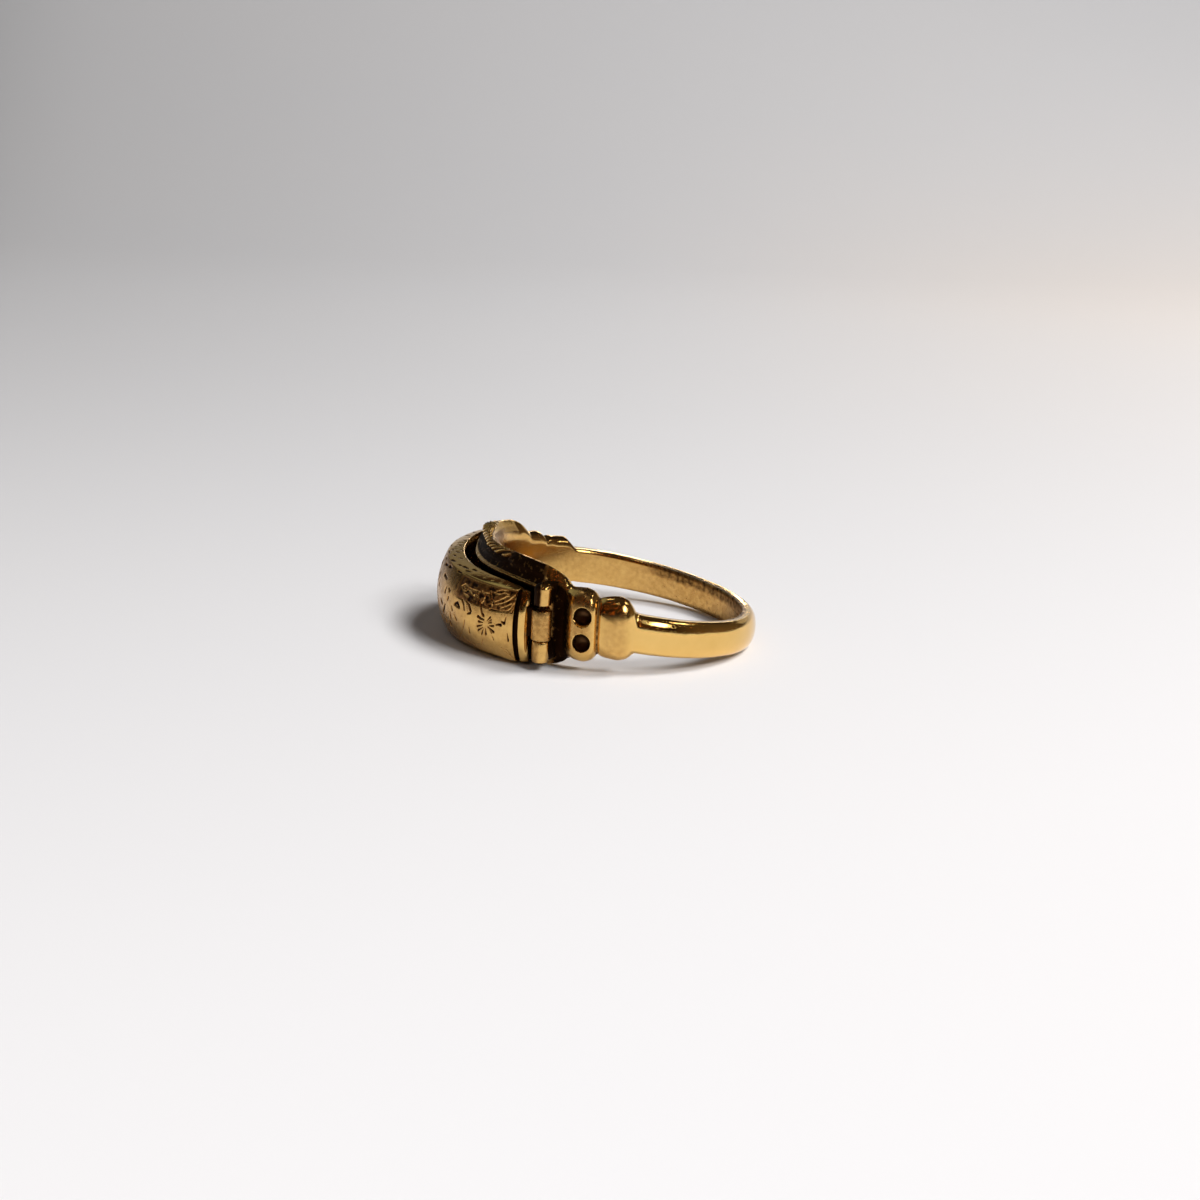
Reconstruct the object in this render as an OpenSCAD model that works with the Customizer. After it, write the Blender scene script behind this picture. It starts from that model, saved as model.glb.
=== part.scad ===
// Locket ring with a hinged lid over a shallow compartment in its head.
// It lies on its side: the finger goes through along Z, the head is at -X,
// the back of the shank at +X and the hinge at -Y. The origin is the middle
// of the finger hole. The shank leans down from the head to its back, so the
// lower edge of the head and the back of the shank stand on one plane.

/* [Finger hole] */
// Inside diameter of the ring
bore_d = 17.3; // [17:0.1:18]

/* [Shank] */
// Width of the shank at its back
shank_w = 2.32; // [2:0.02:2.6]
// Thickness of the shank at the middle of its back
shank_t = 1.03; // [0.9:0.01:1.2]
// How far the shank falls for each mm towards its back
shank_fall = 0.15; // [0.12:0.005:0.15]

/* [Shoulders] */
// Diameter of the two blind holes in each shoulder
drill_d = 1.16; // [0.9:0.02:1.3]
// Distance between the two holes
drill_gap = 1.8; // [1.6:0.05:2]
// Depth of the holes
drill_depth = 0.85; // [0.5:0.05:0.95]

/* [Head] */
// Height of the box's back wall between its two flanges
box_h = 3.7; // [3:0.1:4]
// Thickness of the wall between the finger and the compartment
box_wall = 0.85; // [0.7:0.05:1]

/* [Lid] */
// Thickness of the lid's shell
lid_wall = 0.45; // [0.35:0.05:0.6]
// How far the lid stands open at rest, degrees
lid_ajar = 3.6; // [1:0.1:30]

/* [Hinge] */
// Distance of the hinge pin from the middle of the finger hole
hinge_r = 10.85; // [10.8:0.05:11]
// Outside diameter of the ring's knuckles
knuckle_d = 1.12; // [1:0.02:1.2]
// Outside diameter of the lid's knuckle
lid_knuckle_d = 1.32; // [1.2:0.02:1.36]
// Diameter of the hinge pin
pin_d = 0.48; // [0.4:0.02:0.5]
// Radial play of the lid on the pin
play = 0.05; // [0.03:0.01:0.08]

/* [Hidden] */
gold = [0.83, 0.66, 0.37];
R = bore_d / 2;
dR = R - 8.65;
hinge_a = -131.8;
H = [hinge_r * cos(hinge_a), hinge_r * sin(hinge_a)];
// knuckle levels: lower fixed, lid's, upper fixed
k_low = [-2.87, -1.46];
k_lid = [-1.38, 0.61];
k_top = [0.96, 2.31];

// Sections of the ring from the back (0) to the middle of the head (180).
// angle, middle z, half height at the bore, crest radius, crest half height,
// shoulder radius, shoulder half height, outer radius, fullness
RING = [
    [0,     -0.96 - 9.2 * shank_fall, shank_w / 2 - 0.04, 9.20, shank_w / 2, R - dR + shank_t - 0.02, 1.02, R - dR + shank_t, 1],
    [30,    -0.96 - 7.967 * shank_fall, 1.13, 9.20, 1.175, 9.67, 1.03, 9.69, 1],
    [60,    -0.96 - 4.6 * shank_fall, 1.18, 9.22, 1.226, 9.68, 1.08, 9.70, 1],
    [90,    -0.96, 1.26, 9.25, 1.31, 9.73, 1.15, 9.75, 1],
    [96,    -0.80, 1.28, 9.27, 1.34, 9.76, 1.19, 9.79, 1],
    [97.6,  -0.72, 1.29, 9.27, 1.38, 9.74, 1.22, 9.77, 1],
    [99,    -0.58, 1.44, 9.32, 1.70, 9.94, 1.54, 9.96, 1],
    [101,   -0.48, 1.60, 9.37, 2.00, 10.15, 1.82, 10.17, 1],
    [105,   -0.42, 1.72, 9.40, 2.15, 10.28, 1.95, 10.30, 1],
    [109,   -0.40, 1.70, 9.37, 2.08, 10.22, 1.89, 10.25, 1],
    [111,   -0.40, 1.64, 9.34, 1.98, 10.10, 1.80, 10.13, 1],
    [112.3, -0.39, 1.60, 9.31, 1.92, 10.00, 1.76, 10.03, 1],
    [113.6, -0.38, 1.80, 9.36, 2.17, 10.22, 2.00, 10.26, 1.2],
    [115.5, -0.37, 1.95, 9.40, 2.38, 10.38, 2.18, 10.40, 1.4],
    [118,   -0.36, 2.05, 9.40, 2.50, 10.46, 2.32, 10.48, 1.4],
    [121.5, -0.35, 2.02, 9.35, 2.46, 10.38, 2.26, 10.40, 1.4],
    [124,   -0.33, 2.02, 9.30, 2.50, 10.12, 2.20, 10.15, 1.4],
    [126.5, -0.30, 2.18, 9.25, 2.85, 9.82, 2.10, 9.84, 2],
    [129.5, -0.25, 2.35, 9.25, 3.10, 9.82, 2.10, 9.84, 3],
    [133,   -0.18, 2.45, 9.28, 3.24, 10.00, 2.15, 10.00, 5],
    [137,   -0.12, 2.52, 9.30, 3.36, 10.15, 2.15, 10.15, 8],
    [145,   -0.05, 2.60, 9.30, 3.45, 10.15, 2.15, 10.15, 10],
    [155,   0,     2.68, 9.30, 3.50, 10.15, 2.15, 10.15, 10],
    [180,   0,     2.68, 9.30, 3.50, 10.15, 2.15, 10.15, 10]
];

// Sections of the closed lid from its hinge end to its free end.
// angle, middle z, half height of the rim, bevel radius, bevel half height,
// outer radius
LID = [
    [-137.6, -0.82, 2.36, 10.62, 2.34, 10.95],
    [-139.2, -0.82, 2.42, 10.70, 2.40, 11.14],
    [-140.3, -0.82, 2.44, 10.74, 2.42, 11.20],
    [-140.8, -0.82, 2.40, 10.64, 2.34, 11.02],
    [-141.3, -0.82, 2.50, 10.86, 2.40, 11.36],
    [-150,   -0.78, 2.64, 11.16, 2.34, 11.68],
    [-160,   -0.76, 2.68, 11.34, 2.36, 11.98],
    [-180,   -0.73, 2.71, 11.50, 2.45, 12.20],
    [-200,   -0.63, 2.78, 11.50, 2.53, 12.14],
    [-214,   -0.57, 2.80, 11.42, 2.55, 11.98],
    [-224.2, -0.53, 2.80, 11.30, 2.55, 11.80]
];
rim_r = 10.38;

// smooth interpolation in column c of table T at x
function slope(T, i, c) = i == 0 || i == len(T) - 1 ? 0
    : (T[i + 1][c] - T[i - 1][c]) / (T[i + 1][0] - T[i - 1][0]);
function cell(T, x, i = 0) = i >= len(T) - 2 || abs(x - T[0][0]) <= abs(T[i + 1][0] - T[0][0]) ? i : cell(T, x, i + 1);
function herm(T, x, c) = let(i = cell(T, x), h = T[i + 1][0] - T[i][0], t = (x - T[i][0]) / h)
    (2 * t ^ 3 - 3 * t ^ 2 + 1) * T[i][c] + (t ^ 3 - 2 * t ^ 2 + t) * h * slope(T, i, c)
    + (3 * t ^ 2 - 2 * t ^ 3) * T[i + 1][c] + (t ^ 3 - t ^ 2) * h * slope(T, i + 1, c);

// point on the curve from the crest over the shoulder to the outer middle
function dome(t, a, b, c, w) = let(q = (1 - t) ^ 2, m = 2 * w * t * (1 - t), s = t ^ 2)
    (q * a + m * b + s * c) / (q + m + s);

ND = 6;
// far: 1 on the far shoulder, whose blocks stand a little lower and nearer to the head
function ring_section(a, far) = let(
        x = a - far * 2.6 * exp(-((a - 110) / 17) ^ 2),
        v = [for (c = [1:8]) herm(RING, x, c)],
        e = far * (0.17 * exp(-((x - 104.5) / 5) ^ 2) + 0.08 * exp(-((x - 118) / 4.5) ^ 2)),
        // the rim spreads where it wraps round the far end of the head
        g = far * 0.7 * exp(-((x - 152) / 11) ^ 2),
        zm = v[0] - e, zi = v[1] - e, rc = v[2] + dR, zc = v[3] - e, rs = v[4] + dR, zs = v[5] - e + g, ro = v[6] + dR, w = v[7],
        ri = R - 0.35, zj = zi - (zc - zi) / (rc - R) * 0.35,
        up = [for (k = [0:ND]) dome(k / ND, [rc, zc], [rs, zs], [ro, 0], w)],
        top = concat([[ri, zj]], up),
        low = [for (k = [ND:-1:0]) [up[k][0], -up[k][1]]])
    [for (p = concat(top, [for (k = [1:ND]) low[k]], [[ri, -zj]])) [p[0], p[1] + zm]];

ring_half = concat([for (a = [0:7.5:90]) a], [94, 96, 96.8, 97.6, 98.3],
    [for (a = [99:1:112]) a], [112.4], [for (a = [113:1:127]) a],
    [for (a = [128.5:1.5:137]) a], [for (a = [140:3:176]) a], [180]);
ring_stations = concat(ring_half, [for (i = [len(ring_half) - 2:-1:1]) 360 - ring_half[i]]);

function at(a, p) = [p[0] * cos(a), p[0] * sin(a), p[1]];

// closed loop of sections
module loop_solid(stations, secs) {
    n = len(secs[0]);
    m = len(secs);
    polyhedron(
        points = [for (i = [0:m - 1]) for (p = secs[i]) at(stations[i], p)],
        faces = [for (i = [0:m - 1]) for (j = [0:n - 1]) let(
            a = i * n + j, b = i * n + (j + 1) % n,
            c = ((i + 1) % m) * n + (j + 1) % n, d = ((i + 1) % m) * n + j)
            for (f = [[a, c, b], [a, d, c]]) f]);
}

// open run of sections, closed by its two end faces
module run_solid(stations, secs) {
    n = len(secs[0]);
    m = len(secs);
    polyhedron(
        points = [for (i = [0:m - 1]) for (p = secs[i]) at(stations[i], p)],
        faces = concat(
            [[for (j = [n - 1:-1:0]) j]],
            [[for (j = [0:n - 1]) (m - 1) * n + j]],
            [for (i = [0:m - 2]) for (j = [0:n - 1]) let(
                a = i * n + j, b = i * n + (j + 1) % n,
                c = (i + 1) * n + (j + 1) % n, d = (i + 1) * n + j)
                for (f = [[a, b, c], [a, c, d]]) f]));
}

// block that ties a knuckle to the ring, between two levels
module knuckle_foot(a, z) {
    rotate([0, 0, a]) translate([R + 0.45, -0.42, z[0]])
        cube([hinge_r - R - 0.45, 0.84, z[1] - z[0]]);
}

module knuckle(p, z, d = knuckle_d) {
    translate([p[0], p[1], z[0]]) rotate([0, 0, atan2(p[1], p[0])])
        cylinder(d = d, h = z[1] - z[0], $fn = 48);
}

module ring() {
    color(gold) difference() {
        union() {
            loop_solid(ring_stations, [for (a = ring_stations) ring_section(a <= 180 ? a : 360 - a, a <= 180 ? 1 : 0)]);
            for (z = [k_low, k_top]) {
                knuckle(H, z);
                knuckle_foot(hinge_a, z);
            }
            // plain post at the free end of the lid
            knuckle([H[0], -H[1]], [k_low[0], k_top[1]]);
            knuckle_foot(-hinge_a, [k_low[0], k_top[1]]);
        }
        // finger hole
        cylinder(r = R, h = 30, center = true, $fn = 160);
        // compartment between the flanges
        rotate([0, 0, 180 - 43]) rotate_extrude(angle = 86, $fn = 160)
            translate([R + box_wall, -0.25 - box_h / 2]) square([3, box_h]);
        // hole for the pin
        translate([H[0], H[1], -5]) cylinder(r = pin_d / 2 + 0.02, h = 10, $fn = 32);
        // blind holes in the shoulders
        for (s = [-1, 1]) for (k = [-1, 1])
            rotate([0, 0, s < 0 ? -117.6 : 119.5]) translate([R + 1.8 - drill_depth, 0, -0.5 + k * drill_gap / 2])
                rotate([0, 90, 0]) cylinder(d = drill_d, h = 3, $fn = 40);
    }
}

// the run starts with the plain strip beside the hinge, closed off by a groove
lid_stations = concat([-137.6, -138.4, -139.2, -140.3, -140.8, -141.3, -142.4], [for (a = [-144.2:-3.2:-224.3]) a]);
hollow_stations = [for (a = [-144.2:-2.95:-221]) a];
function lid_section(x, w) = let(
        v = [for (c = [1:5]) herm(LID, x, c)],
        zm = v[0], zr = v[1] - w, rb = v[2] - 0.9 * w, zb = v[3] - w * 0.8, ro = v[4] - w,
        ri = w > 0 ? 9.9 : rim_r,
        arc = [for (k = [0:5]) let(u = k / 5) [rb + (ro - rb) * (1 - (1 - u) ^ 2), zb * (1 - u)]])
    [for (p = concat([[ri, zr]], arc, [for (k = [4:-1:0]) [arc[k][0], -arc[k][1]]], [[ri, -zr]]))
        [p[0] + dR, p[1] + zm]];

module lid() {
    color(gold)
    translate([H[0], H[1], 0]) rotate([0, 0, lid_ajar]) translate([-H[0], -H[1], 0])
    difference() {
        union() {
            difference() {
                run_solid(lid_stations, [for (a = lid_stations) lid_section(a, 0)]);
                // hollow, open towards the ring
                run_solid(hollow_stations, [for (a = hollow_stations) lid_section(a, lid_wall)]);
            }
            // tongue from the strip to the knuckle
            rotate([0, 0, hinge_a]) translate([hinge_r - 0.45, -1.6, k_lid[0]])
                cube([0.4, 1.6, k_lid[1] - k_lid[0]]);
            knuckle(H, k_lid, lid_knuckle_d);
        }
        translate([H[0], H[1], -5]) cylinder(r = pin_d / 2 + play, h = 10, $fn = 32);
    }
}

module hinge_pin() {
    color(gold) {
        translate([H[0], H[1], k_low[0] - 0.1]) cylinder(d = pin_d, h = k_top[1] - k_low[0] + 0.2, $fn = 32);
    }
}

ring();
lid();
hinge_pin();
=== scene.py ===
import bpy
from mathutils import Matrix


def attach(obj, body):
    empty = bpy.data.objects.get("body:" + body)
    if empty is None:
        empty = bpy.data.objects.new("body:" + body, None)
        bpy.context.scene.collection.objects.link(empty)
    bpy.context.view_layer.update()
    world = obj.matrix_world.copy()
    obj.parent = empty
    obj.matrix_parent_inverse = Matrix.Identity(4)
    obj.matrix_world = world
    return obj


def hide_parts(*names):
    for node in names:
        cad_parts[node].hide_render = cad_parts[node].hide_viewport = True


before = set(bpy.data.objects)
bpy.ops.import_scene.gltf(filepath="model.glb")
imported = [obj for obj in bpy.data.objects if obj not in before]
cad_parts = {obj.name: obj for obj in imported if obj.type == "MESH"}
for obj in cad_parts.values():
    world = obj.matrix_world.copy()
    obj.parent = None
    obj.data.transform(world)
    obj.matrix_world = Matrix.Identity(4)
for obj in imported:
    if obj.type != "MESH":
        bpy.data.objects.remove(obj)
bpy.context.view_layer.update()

import math

import bpy
import numpy as np
from mathutils import Matrix, Vector

MM = 0.001
rng = np.random.default_rng(11)

# ---------------------------------------------------------------- dimensions, mm
R = 8.65                      # finger hole
FLOOR = -3.5
HINGE_A = -131.8
HINGE_R = 10.85
HX = HINGE_R * math.cos(math.radians(HINGE_A))
HY = HINGE_R * math.sin(math.radians(HINGE_A))
K_LOW, K_LID, K_TOP = (-2.87, -1.46), (-1.38, 0.61), (0.96, 2.31)
AJAR = 3.6

# angle from the back, middle z, half height at the bore, crest radius, crest half height,
# shoulder radius, shoulder half height, outer radius, fullness
RING = np.array([
    [0.0, -2.34, 1.11, 9.20, 1.16, 9.66, 1.00, 9.68, 1.0],
    [30, -2.155, 1.13, 9.20, 1.175, 9.67, 1.03, 9.69, 1.0],
    [60, -1.65, 1.18, 9.22, 1.226, 9.68, 1.08, 9.70, 1.0],
    [90, -0.96, 1.26, 9.25, 1.31, 9.73, 1.15, 9.75, 1.0],
    [96.0, -0.80, 1.28, 9.27, 1.33, 9.76, 1.18, 9.78, 1.0],
    [97.3, -0.73, 1.29, 9.27, 1.36, 9.74, 1.21, 9.76, 1.0],
    [98.2, -0.65, 1.36, 9.29, 1.52, 9.80, 1.36, 9.82, 1.0],
    [99.2, -0.57, 1.45, 9.32, 1.72, 9.95, 1.56, 9.97, 1.0],
    [101, -0.48, 1.60, 9.37, 2.00, 10.15, 1.82, 10.17, 1.0],
    [104.5, -0.42, 1.72, 9.40, 2.16, 10.29, 1.96, 10.31, 1.0],
    [108, -0.40, 1.70, 9.38, 2.10, 10.25, 1.91, 10.27, 1.0],
    [110.6, -0.40, 1.66, 9.35, 2.01, 10.14, 1.83, 10.17, 1.0],
    [111.8, -0.39, 1.60, 9.32, 1.92, 10.02, 1.75, 10.05, 1.0],
    [112.3, -0.39, 1.57, 9.31, 1.88, 9.96, 1.71, 10.00, 1.0],
    [112.8, -0.39, 1.64, 9.33, 1.98, 10.08, 1.82, 10.12, 1.05],
    [113.8, -0.38, 1.82, 9.37, 2.20, 10.27, 2.03, 10.31, 1.25],
    [115.5, -0.37, 1.95, 9.40, 2.40, 10.39, 2.20, 10.42, 1.5],
    [118.0, -0.36, 2.05, 9.40, 2.50, 10.46, 2.32, 10.48, 1.5],
    [121.0, -0.35, 2.02, 9.36, 2.46, 10.38, 2.28, 10.41, 1.5],
    [123.2, -0.34, 1.98, 9.31, 2.42, 10.20, 2.18, 10.23, 1.5],
    [124.6, -0.33, 2.02, 9.28, 2.50, 9.98, 2.10, 10.00, 1.8],
    [126.2, -0.30, 2.14, 9.25, 2.76, 9.82, 2.08, 9.84, 2.4],
    [129.5, -0.25, 2.33, 9.25, 3.08, 9.80, 2.10, 9.82, 3.0],
    [133, -0.18, 2.45, 9.28, 3.24, 9.96, 2.13, 9.98, 5.0],
    [137, -0.12, 2.52, 9.30, 3.36, 10.12, 2.15, 10.14, 8.0],
    [145, -0.05, 2.60, 9.30, 3.45, 10.15, 2.15, 10.15, 10.0],
    [155, 0.0, 2.68, 9.30, 3.50, 10.15, 2.15, 10.15, 10.0],
    [180, 0.0, 2.68, 9.30, 3.50, 10.15, 2.15, 10.15, 10.0],
])

# angle past the hinge end (0 = -137.6 deg, growing towards the free end), middle z,
# half height of the rim, bevel radius, bevel half height, outer radius
LID = np.array([
    [0.0, -0.82, 2.34, 10.60, 2.32, 10.88],
    [0.5, -0.82, 2.38, 10.66, 2.36, 11.02],
    [1.6, -0.82, 2.42, 10.70, 2.40, 11.14],
    [2.7, -0.82, 2.44, 10.74, 2.42, 11.20],
    [3.05, -0.82, 2.42, 10.72, 2.40, 11.16],
    [3.25, -0.82, 2.40, 10.68, 2.36, 11.06],
    [3.45, -0.82, 2.46, 10.78, 2.38, 11.22],
    [3.9, -0.82, 2.51, 10.88, 2.40, 11.38],
    [12.4, -0.78, 2.64, 11.16, 2.34, 11.68],
    [22.4, -0.76, 2.68, 11.34, 2.36, 11.98],
    [42.4, -0.73, 2.71, 11.50, 2.45, 12.20],
    [62.4, -0.63, 2.78, 11.50, 2.53, 12.14],
    [76.4, -0.57, 2.80, 11.42, 2.55, 11.98],
    [86.6, -0.53, 2.80, 11.30, 2.55, 11.80],
])
RIM_R = 10.38


# ---------------------------------------------------------------- small maths
def pchip(T, x, cols=None):
    """Monotone cubic through the rows of T at the places x."""
    xs = T[:, 0]
    Y = T[:, 1:] if cols is None else T[:, cols]
    h = np.diff(xs)[:, None]
    d = np.diff(Y, axis=0) / h
    m = np.zeros_like(Y)
    w1 = 2 * h[1:] + h[:-1]
    w2 = h[1:] + 2 * h[:-1]
    same = d[1:] * d[:-1] > 0
    with np.errstate(divide="ignore", invalid="ignore"):
        hm = (w1 + w2) / (w1 / d[:-1] + w2 / d[1:])
    m[1:-1] = np.where(same, hm, 0)
    m[0] = 0 if False else d[0] * 0
    m[-1] = d[-1] * 0
    x = np.clip(np.asarray(x, float), xs[0], xs[-1])
    i = np.clip(np.searchsorted(xs, x, side="right") - 1, 0, len(xs) - 2)
    hh = h[i]
    t = ((x - xs[i])[:, None]) / hh
    return (
        (2 * t**3 - 3 * t**2 + 1) * Y[i]
        + (t**3 - 2 * t**2 + t) * hh * m[i]
        + (3 * t**2 - 2 * t**3) * Y[i + 1]
        + (t**3 - t**2) * hh * m[i + 1]
    )


def smooth(a, b, x):
    t = np.clip((np.asarray(x, float) - a) / (b - a), 0, 1)
    return t * t * (3 - 2 * t)


def lattice(shape, seed):
    return np.random.default_rng(seed).random(shape)


def noise2(x, y, seed, period=None):
    """Smooth value noise in -1..1; x wraps at period cells when it is given."""
    n = 64
    L = lattice((n, n), seed)
    xi, yi = np.floor(x).astype(int), np.floor(y).astype(int)
    fx, fy = x - xi, y - yi
    fx, fy = fx * fx * (3 - 2 * fx), fy * fy * (3 - 2 * fy)
    px = period or n
    a, b = L[xi % px % n, yi % n], L[(xi + 1) % px % n, yi % n]
    c, d = L[xi % px % n, (yi + 1) % n], L[(xi + 1) % px % n, (yi + 1) % n]
    return 2 * ((a * (1 - fx) + b * fx) * (1 - fy) + (c * (1 - fx) + d * fx) * fy) - 1


def arc_resample(P, n, bias=None):
    """n points evenly along polyline P."""
    seg = np.linalg.norm(np.diff(P, axis=0), axis=1)
    s = np.concatenate([[0], np.cumsum(seg)])
    t = np.linspace(0, s[-1], n)
    return np.stack([np.interp(t, s, P[:, k]) for k in range(P.shape[1])], 1)


# ---------------------------------------------------------------- meshes
def new_mesh(name, verts, faces, attrs=None, smooth_faces=True, mat=None):
    me = bpy.data.meshes.new(name)
    me.from_pydata([tuple(v) for v in np.asarray(verts) * MM], [], [tuple(int(i) for i in f) for f in faces])
    me.update()
    for key, val in (attrs or {}).items():
        a = me.attributes.new(key, "FLOAT", "POINT")
        a.data.foreach_set("value", np.asarray(val, np.float32).ravel())
    if smooth_faces:
        me.polygons.foreach_set("use_smooth", [True] * len(me.polygons))
    ob = bpy.data.objects.new(name, me)
    bpy.context.scene.collection.objects.link(ob)
    if mat is not None:
        me.materials.append(mat)
    return ob


def grid(name, P, close_u=False, close_v=True, caps=False, attrs=None, mat=None):
    """P[u, v] -> mesh; v runs round the section."""
    nu, nv = P.shape[:2]
    iu = np.arange(nu if close_u else nu - 1)
    iv = np.arange(nv if close_v else nv - 1)
    U, V = np.meshgrid(iu, iv, indexing="ij")
    U2, V2 = (U + 1) % nu, (V + 1) % nv
    F = np.stack([U * nv + V, U * nv + V2, U2 * nv + V2, U2 * nv + V], -1).reshape(-1, 4)
    faces = F.tolist()
    if caps:
        faces.append(list(range(nv))[::-1])
        faces.append([(nu - 1) * nv + j for j in range(nv)])
    flat = {k: np.asarray(v).reshape(-1) for k, v in (attrs or {}).items()}
    return new_mesh(name, P.reshape(-1, 3), faces, flat, mat=mat)


def polar(th, rz):
    """th in degrees [u], rz [u, v, 2] -> xyz"""
    c, s = np.cos(np.radians(th))[:, None], np.sin(np.radians(th))[:, None]
    return np.stack([rz[..., 0] * c, rz[..., 0] * s, rz[..., 1]], -1)


def fix_normals(ob):
    """Turns the faces outward by the sign of the enclosed volume."""
    import bmesh
    bm = bmesh.new()
    bm.from_mesh(ob.data)
    if bm.calc_volume(signed=True) < 0:
        bmesh.ops.reverse_faces(bm, faces=bm.faces)
    bm.to_mesh(ob.data)
    bm.free()


def lathe(name, profile, centre, n=72, mat=None, attrs=None):
    """profile: (r, z) rows from bottom to top, round a vertical axis at centre."""
    P = np.array(profile, float)
    a = np.linspace(0, 2 * np.pi, n, endpoint=False)
    X = centre[0] + P[None, :, 0] * np.cos(a)[:, None]
    Y = centre[1] + P[None, :, 0] * np.sin(a)[:, None]
    Z = np.repeat(P[None, :, 1], n, 0)
    G = np.stack([X, Y, Z], -1)
    faces = []
    m = len(P)
    for i in range(n):
        for j in range(m - 1):
            faces.append([i * m + j, ((i + 1) % n) * m + j, ((i + 1) % n) * m + j + 1, i * m + j + 1])
    faces.append([i * m for i in range(n)][::-1])
    faces.append([i * m + m - 1 for i in range(n)])
    return new_mesh(name, G.reshape(-1, 3), faces, attrs, mat=mat)


# ---------------------------------------------------------------- ring
NI, NC, NS, NO = 5, 9, 32, 28


def dome(t, a, b, c, w):
    q, m, s = (1 - t) ** 2, 2 * w * t * (1 - t), t**2
    return (q * a + m * b + s * c) / (q + m + s)


def section_plain(row):
    """Upper half of a shank or shoulder section as role-matched points, heights from its middle."""
    zm, zi, rc, zc, rs, zs, ro, w = row
    inner = np.stack([np.full(NI, R), np.linspace(0, zi, NI)], 1)
    t = np.linspace(0, 1, NC + 1)[1:]
    mid = np.array([R + 0.22 * (rc - R), zi + 0.80 * (zc - zi)])
    cham = (1 - t)[:, None] ** 2 * [R, zi] + 2 * (t * (1 - t))[:, None] * mid + t[:, None] ** 2 * [rc, zc]
    t = np.linspace(0, 1, 200)
    curve = np.stack([dome(t, rc, rs, ro, w), dome(t, zc, zs, 0.0, w)], 1)
    out = arc_resample(curve, NS + NO + 1)[1:]
    return np.vstack([inner, cham, out])


HEAD_SLOPE = np.array([        # radius, drop below the crest
    [9.30, 0.0], [9.345, 0.012], [9.39, 0.05], [9.50, 0.28], [9.60, 0.52], [9.635, 0.60],
    [9.655, 0.66], [9.665, 0.78], [9.70, 0.95], [9.78, 1.13], [9.90, 1.27], [10.02, 1.34],
])


def section_head(zc, depth, drop=0.84):
    """Upper half of the head's section: bore, inner chamfer, crest, slope, ledge, undercut, compartment."""
    zi = zc - drop
    inner = np.stack([np.full(NI, R), np.linspace(0, zi, NI)], 1)
    t = np.linspace(0, 1, NC + 1)[1:]
    mid = np.array([R + 0.30 + 0.07 * drop, zc - 0.36 * drop])
    cham = (1 - t)[:, None] ** 2 * [R, zi] + 2 * (t * (1 - t))[:, None] * mid + t[:, None] ** 2 * [9.30, zc]
    sl = np.array([[r, zc - d] for r, d in HEAD_SLOPE])
    fine = np.linspace(0, len(sl) - 1, 300)
    sl = np.stack([np.interp(fine, range(len(sl)), sl[:, k]) for k in (0, 1)], 1)
    slope = arc_resample(sl, NS + 1)[1:]
    zl = slope[-1, 1]
    o = np.array([[10.02, zl], [10.10, zl - 0.015], [10.165, zl - 0.03], [10.185, zl - 0.06], [10.185, zl - 0.20],
                  [10.165, zl - 0.23], [10.10, zl - 0.25]])
    back = 10.10 - depth
    o = np.vstack([o, [[back + 0.10, zl - 0.34], [back, zl - 0.44], [back, 0.0]]])
    seg = [2, 2, 2, 4, 2, 2, 5, 4, 5]
    out = []
    for i, n in enumerate(seg):
        for k in range(1, n + 1):
            out.append(o[i] + (o[i + 1] - o[i]) * k / n)
    return np.vstack([inner, cham, slope, np.array(out)])


def ring_sections(th, spread=1.0):
    """Full closed sections [u, v, 2] for angles th (degrees); spread is the wider rim of the far end."""
    a = np.abs((np.asarray(th) + 180) % 360 - 180)
    # the far shoulder's blocks stand a little lower and nearer to the head
    far = ((np.asarray(th) % 360) < 180) * 1.0
    a = a - far * 2.6 * np.exp(-(((a - 110) / 17) ** 2)) * smooth(0, 60, a) * (1 - smooth(150, 178, a))
    rows = pchip(RING, a)
    e = far * (0.17 * np.exp(-(((a - 104.5) / 5) ** 2)) + 0.08 * np.exp(-(((a - 118) / 4.5) ** 2)))
    for k in (0, 1, 3, 5):
        rows[:, k] -= e
    out = []
    for ang, row, fs in zip(a, rows, far):
        A = section_plain(row)
        w = float(smooth(129.5, 135.5, ang))
        if w > 0:
            depth = 0.02 + 0.52 * float(smooth(136.6, 137.6, ang))
            B = section_head(row[3], depth, 0.84 - 0.40 * float(smooth(156, 176, ang)))
            f = fs * spread * w * math.exp(-(((ang - 152) / 13) ** 2))
            if f > 0.01:
                r0, z0 = B[:, 0].copy(), B[:, 1].copy()
                past = np.arange(len(B)) >= NI + NC
                B[:, 0] = np.where(past & (r0 < 10.09), np.maximum(r0, np.minimum(r0 + 0.55 * f * smooth(9.31, 9.47, r0), 10.06 + 0.05 * smooth(9.6, 10.02, r0))), r0)
                up = 0.17 * smooth(9.38, 9.47, r0) * (1 - smooth(9.58, 9.66, r0)) + 0.42 * smooth(9.62, 9.74, r0)
                B[:, 1] = z0 + np.where(past, f * up * smooth(0.2, 1.7, z0), 0)
            A = A * (1 - w) + B * w
        up = A
        low = A[::-1].copy()
        low[:, 1] *= -1
        full = np.vstack([up, low[1:-1]])
        full[:, 1] += row[0]
        out.append(full)
    return np.array(out), a, rows


NV_HALF = NI + NC + NS + NO


def normals_of(P, close_v=True):
    du = np.gradient(P, axis=0)
    if close_v:
        dv = (np.roll(P, -1, 1) - np.roll(P, 1, 1)) * 0.5
    else:
        dv = np.gradient(P, axis=1)
    n = np.cross(du, dv)
    return n / np.maximum(np.linalg.norm(n, axis=-1, keepdims=True), 1e-12)


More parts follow.
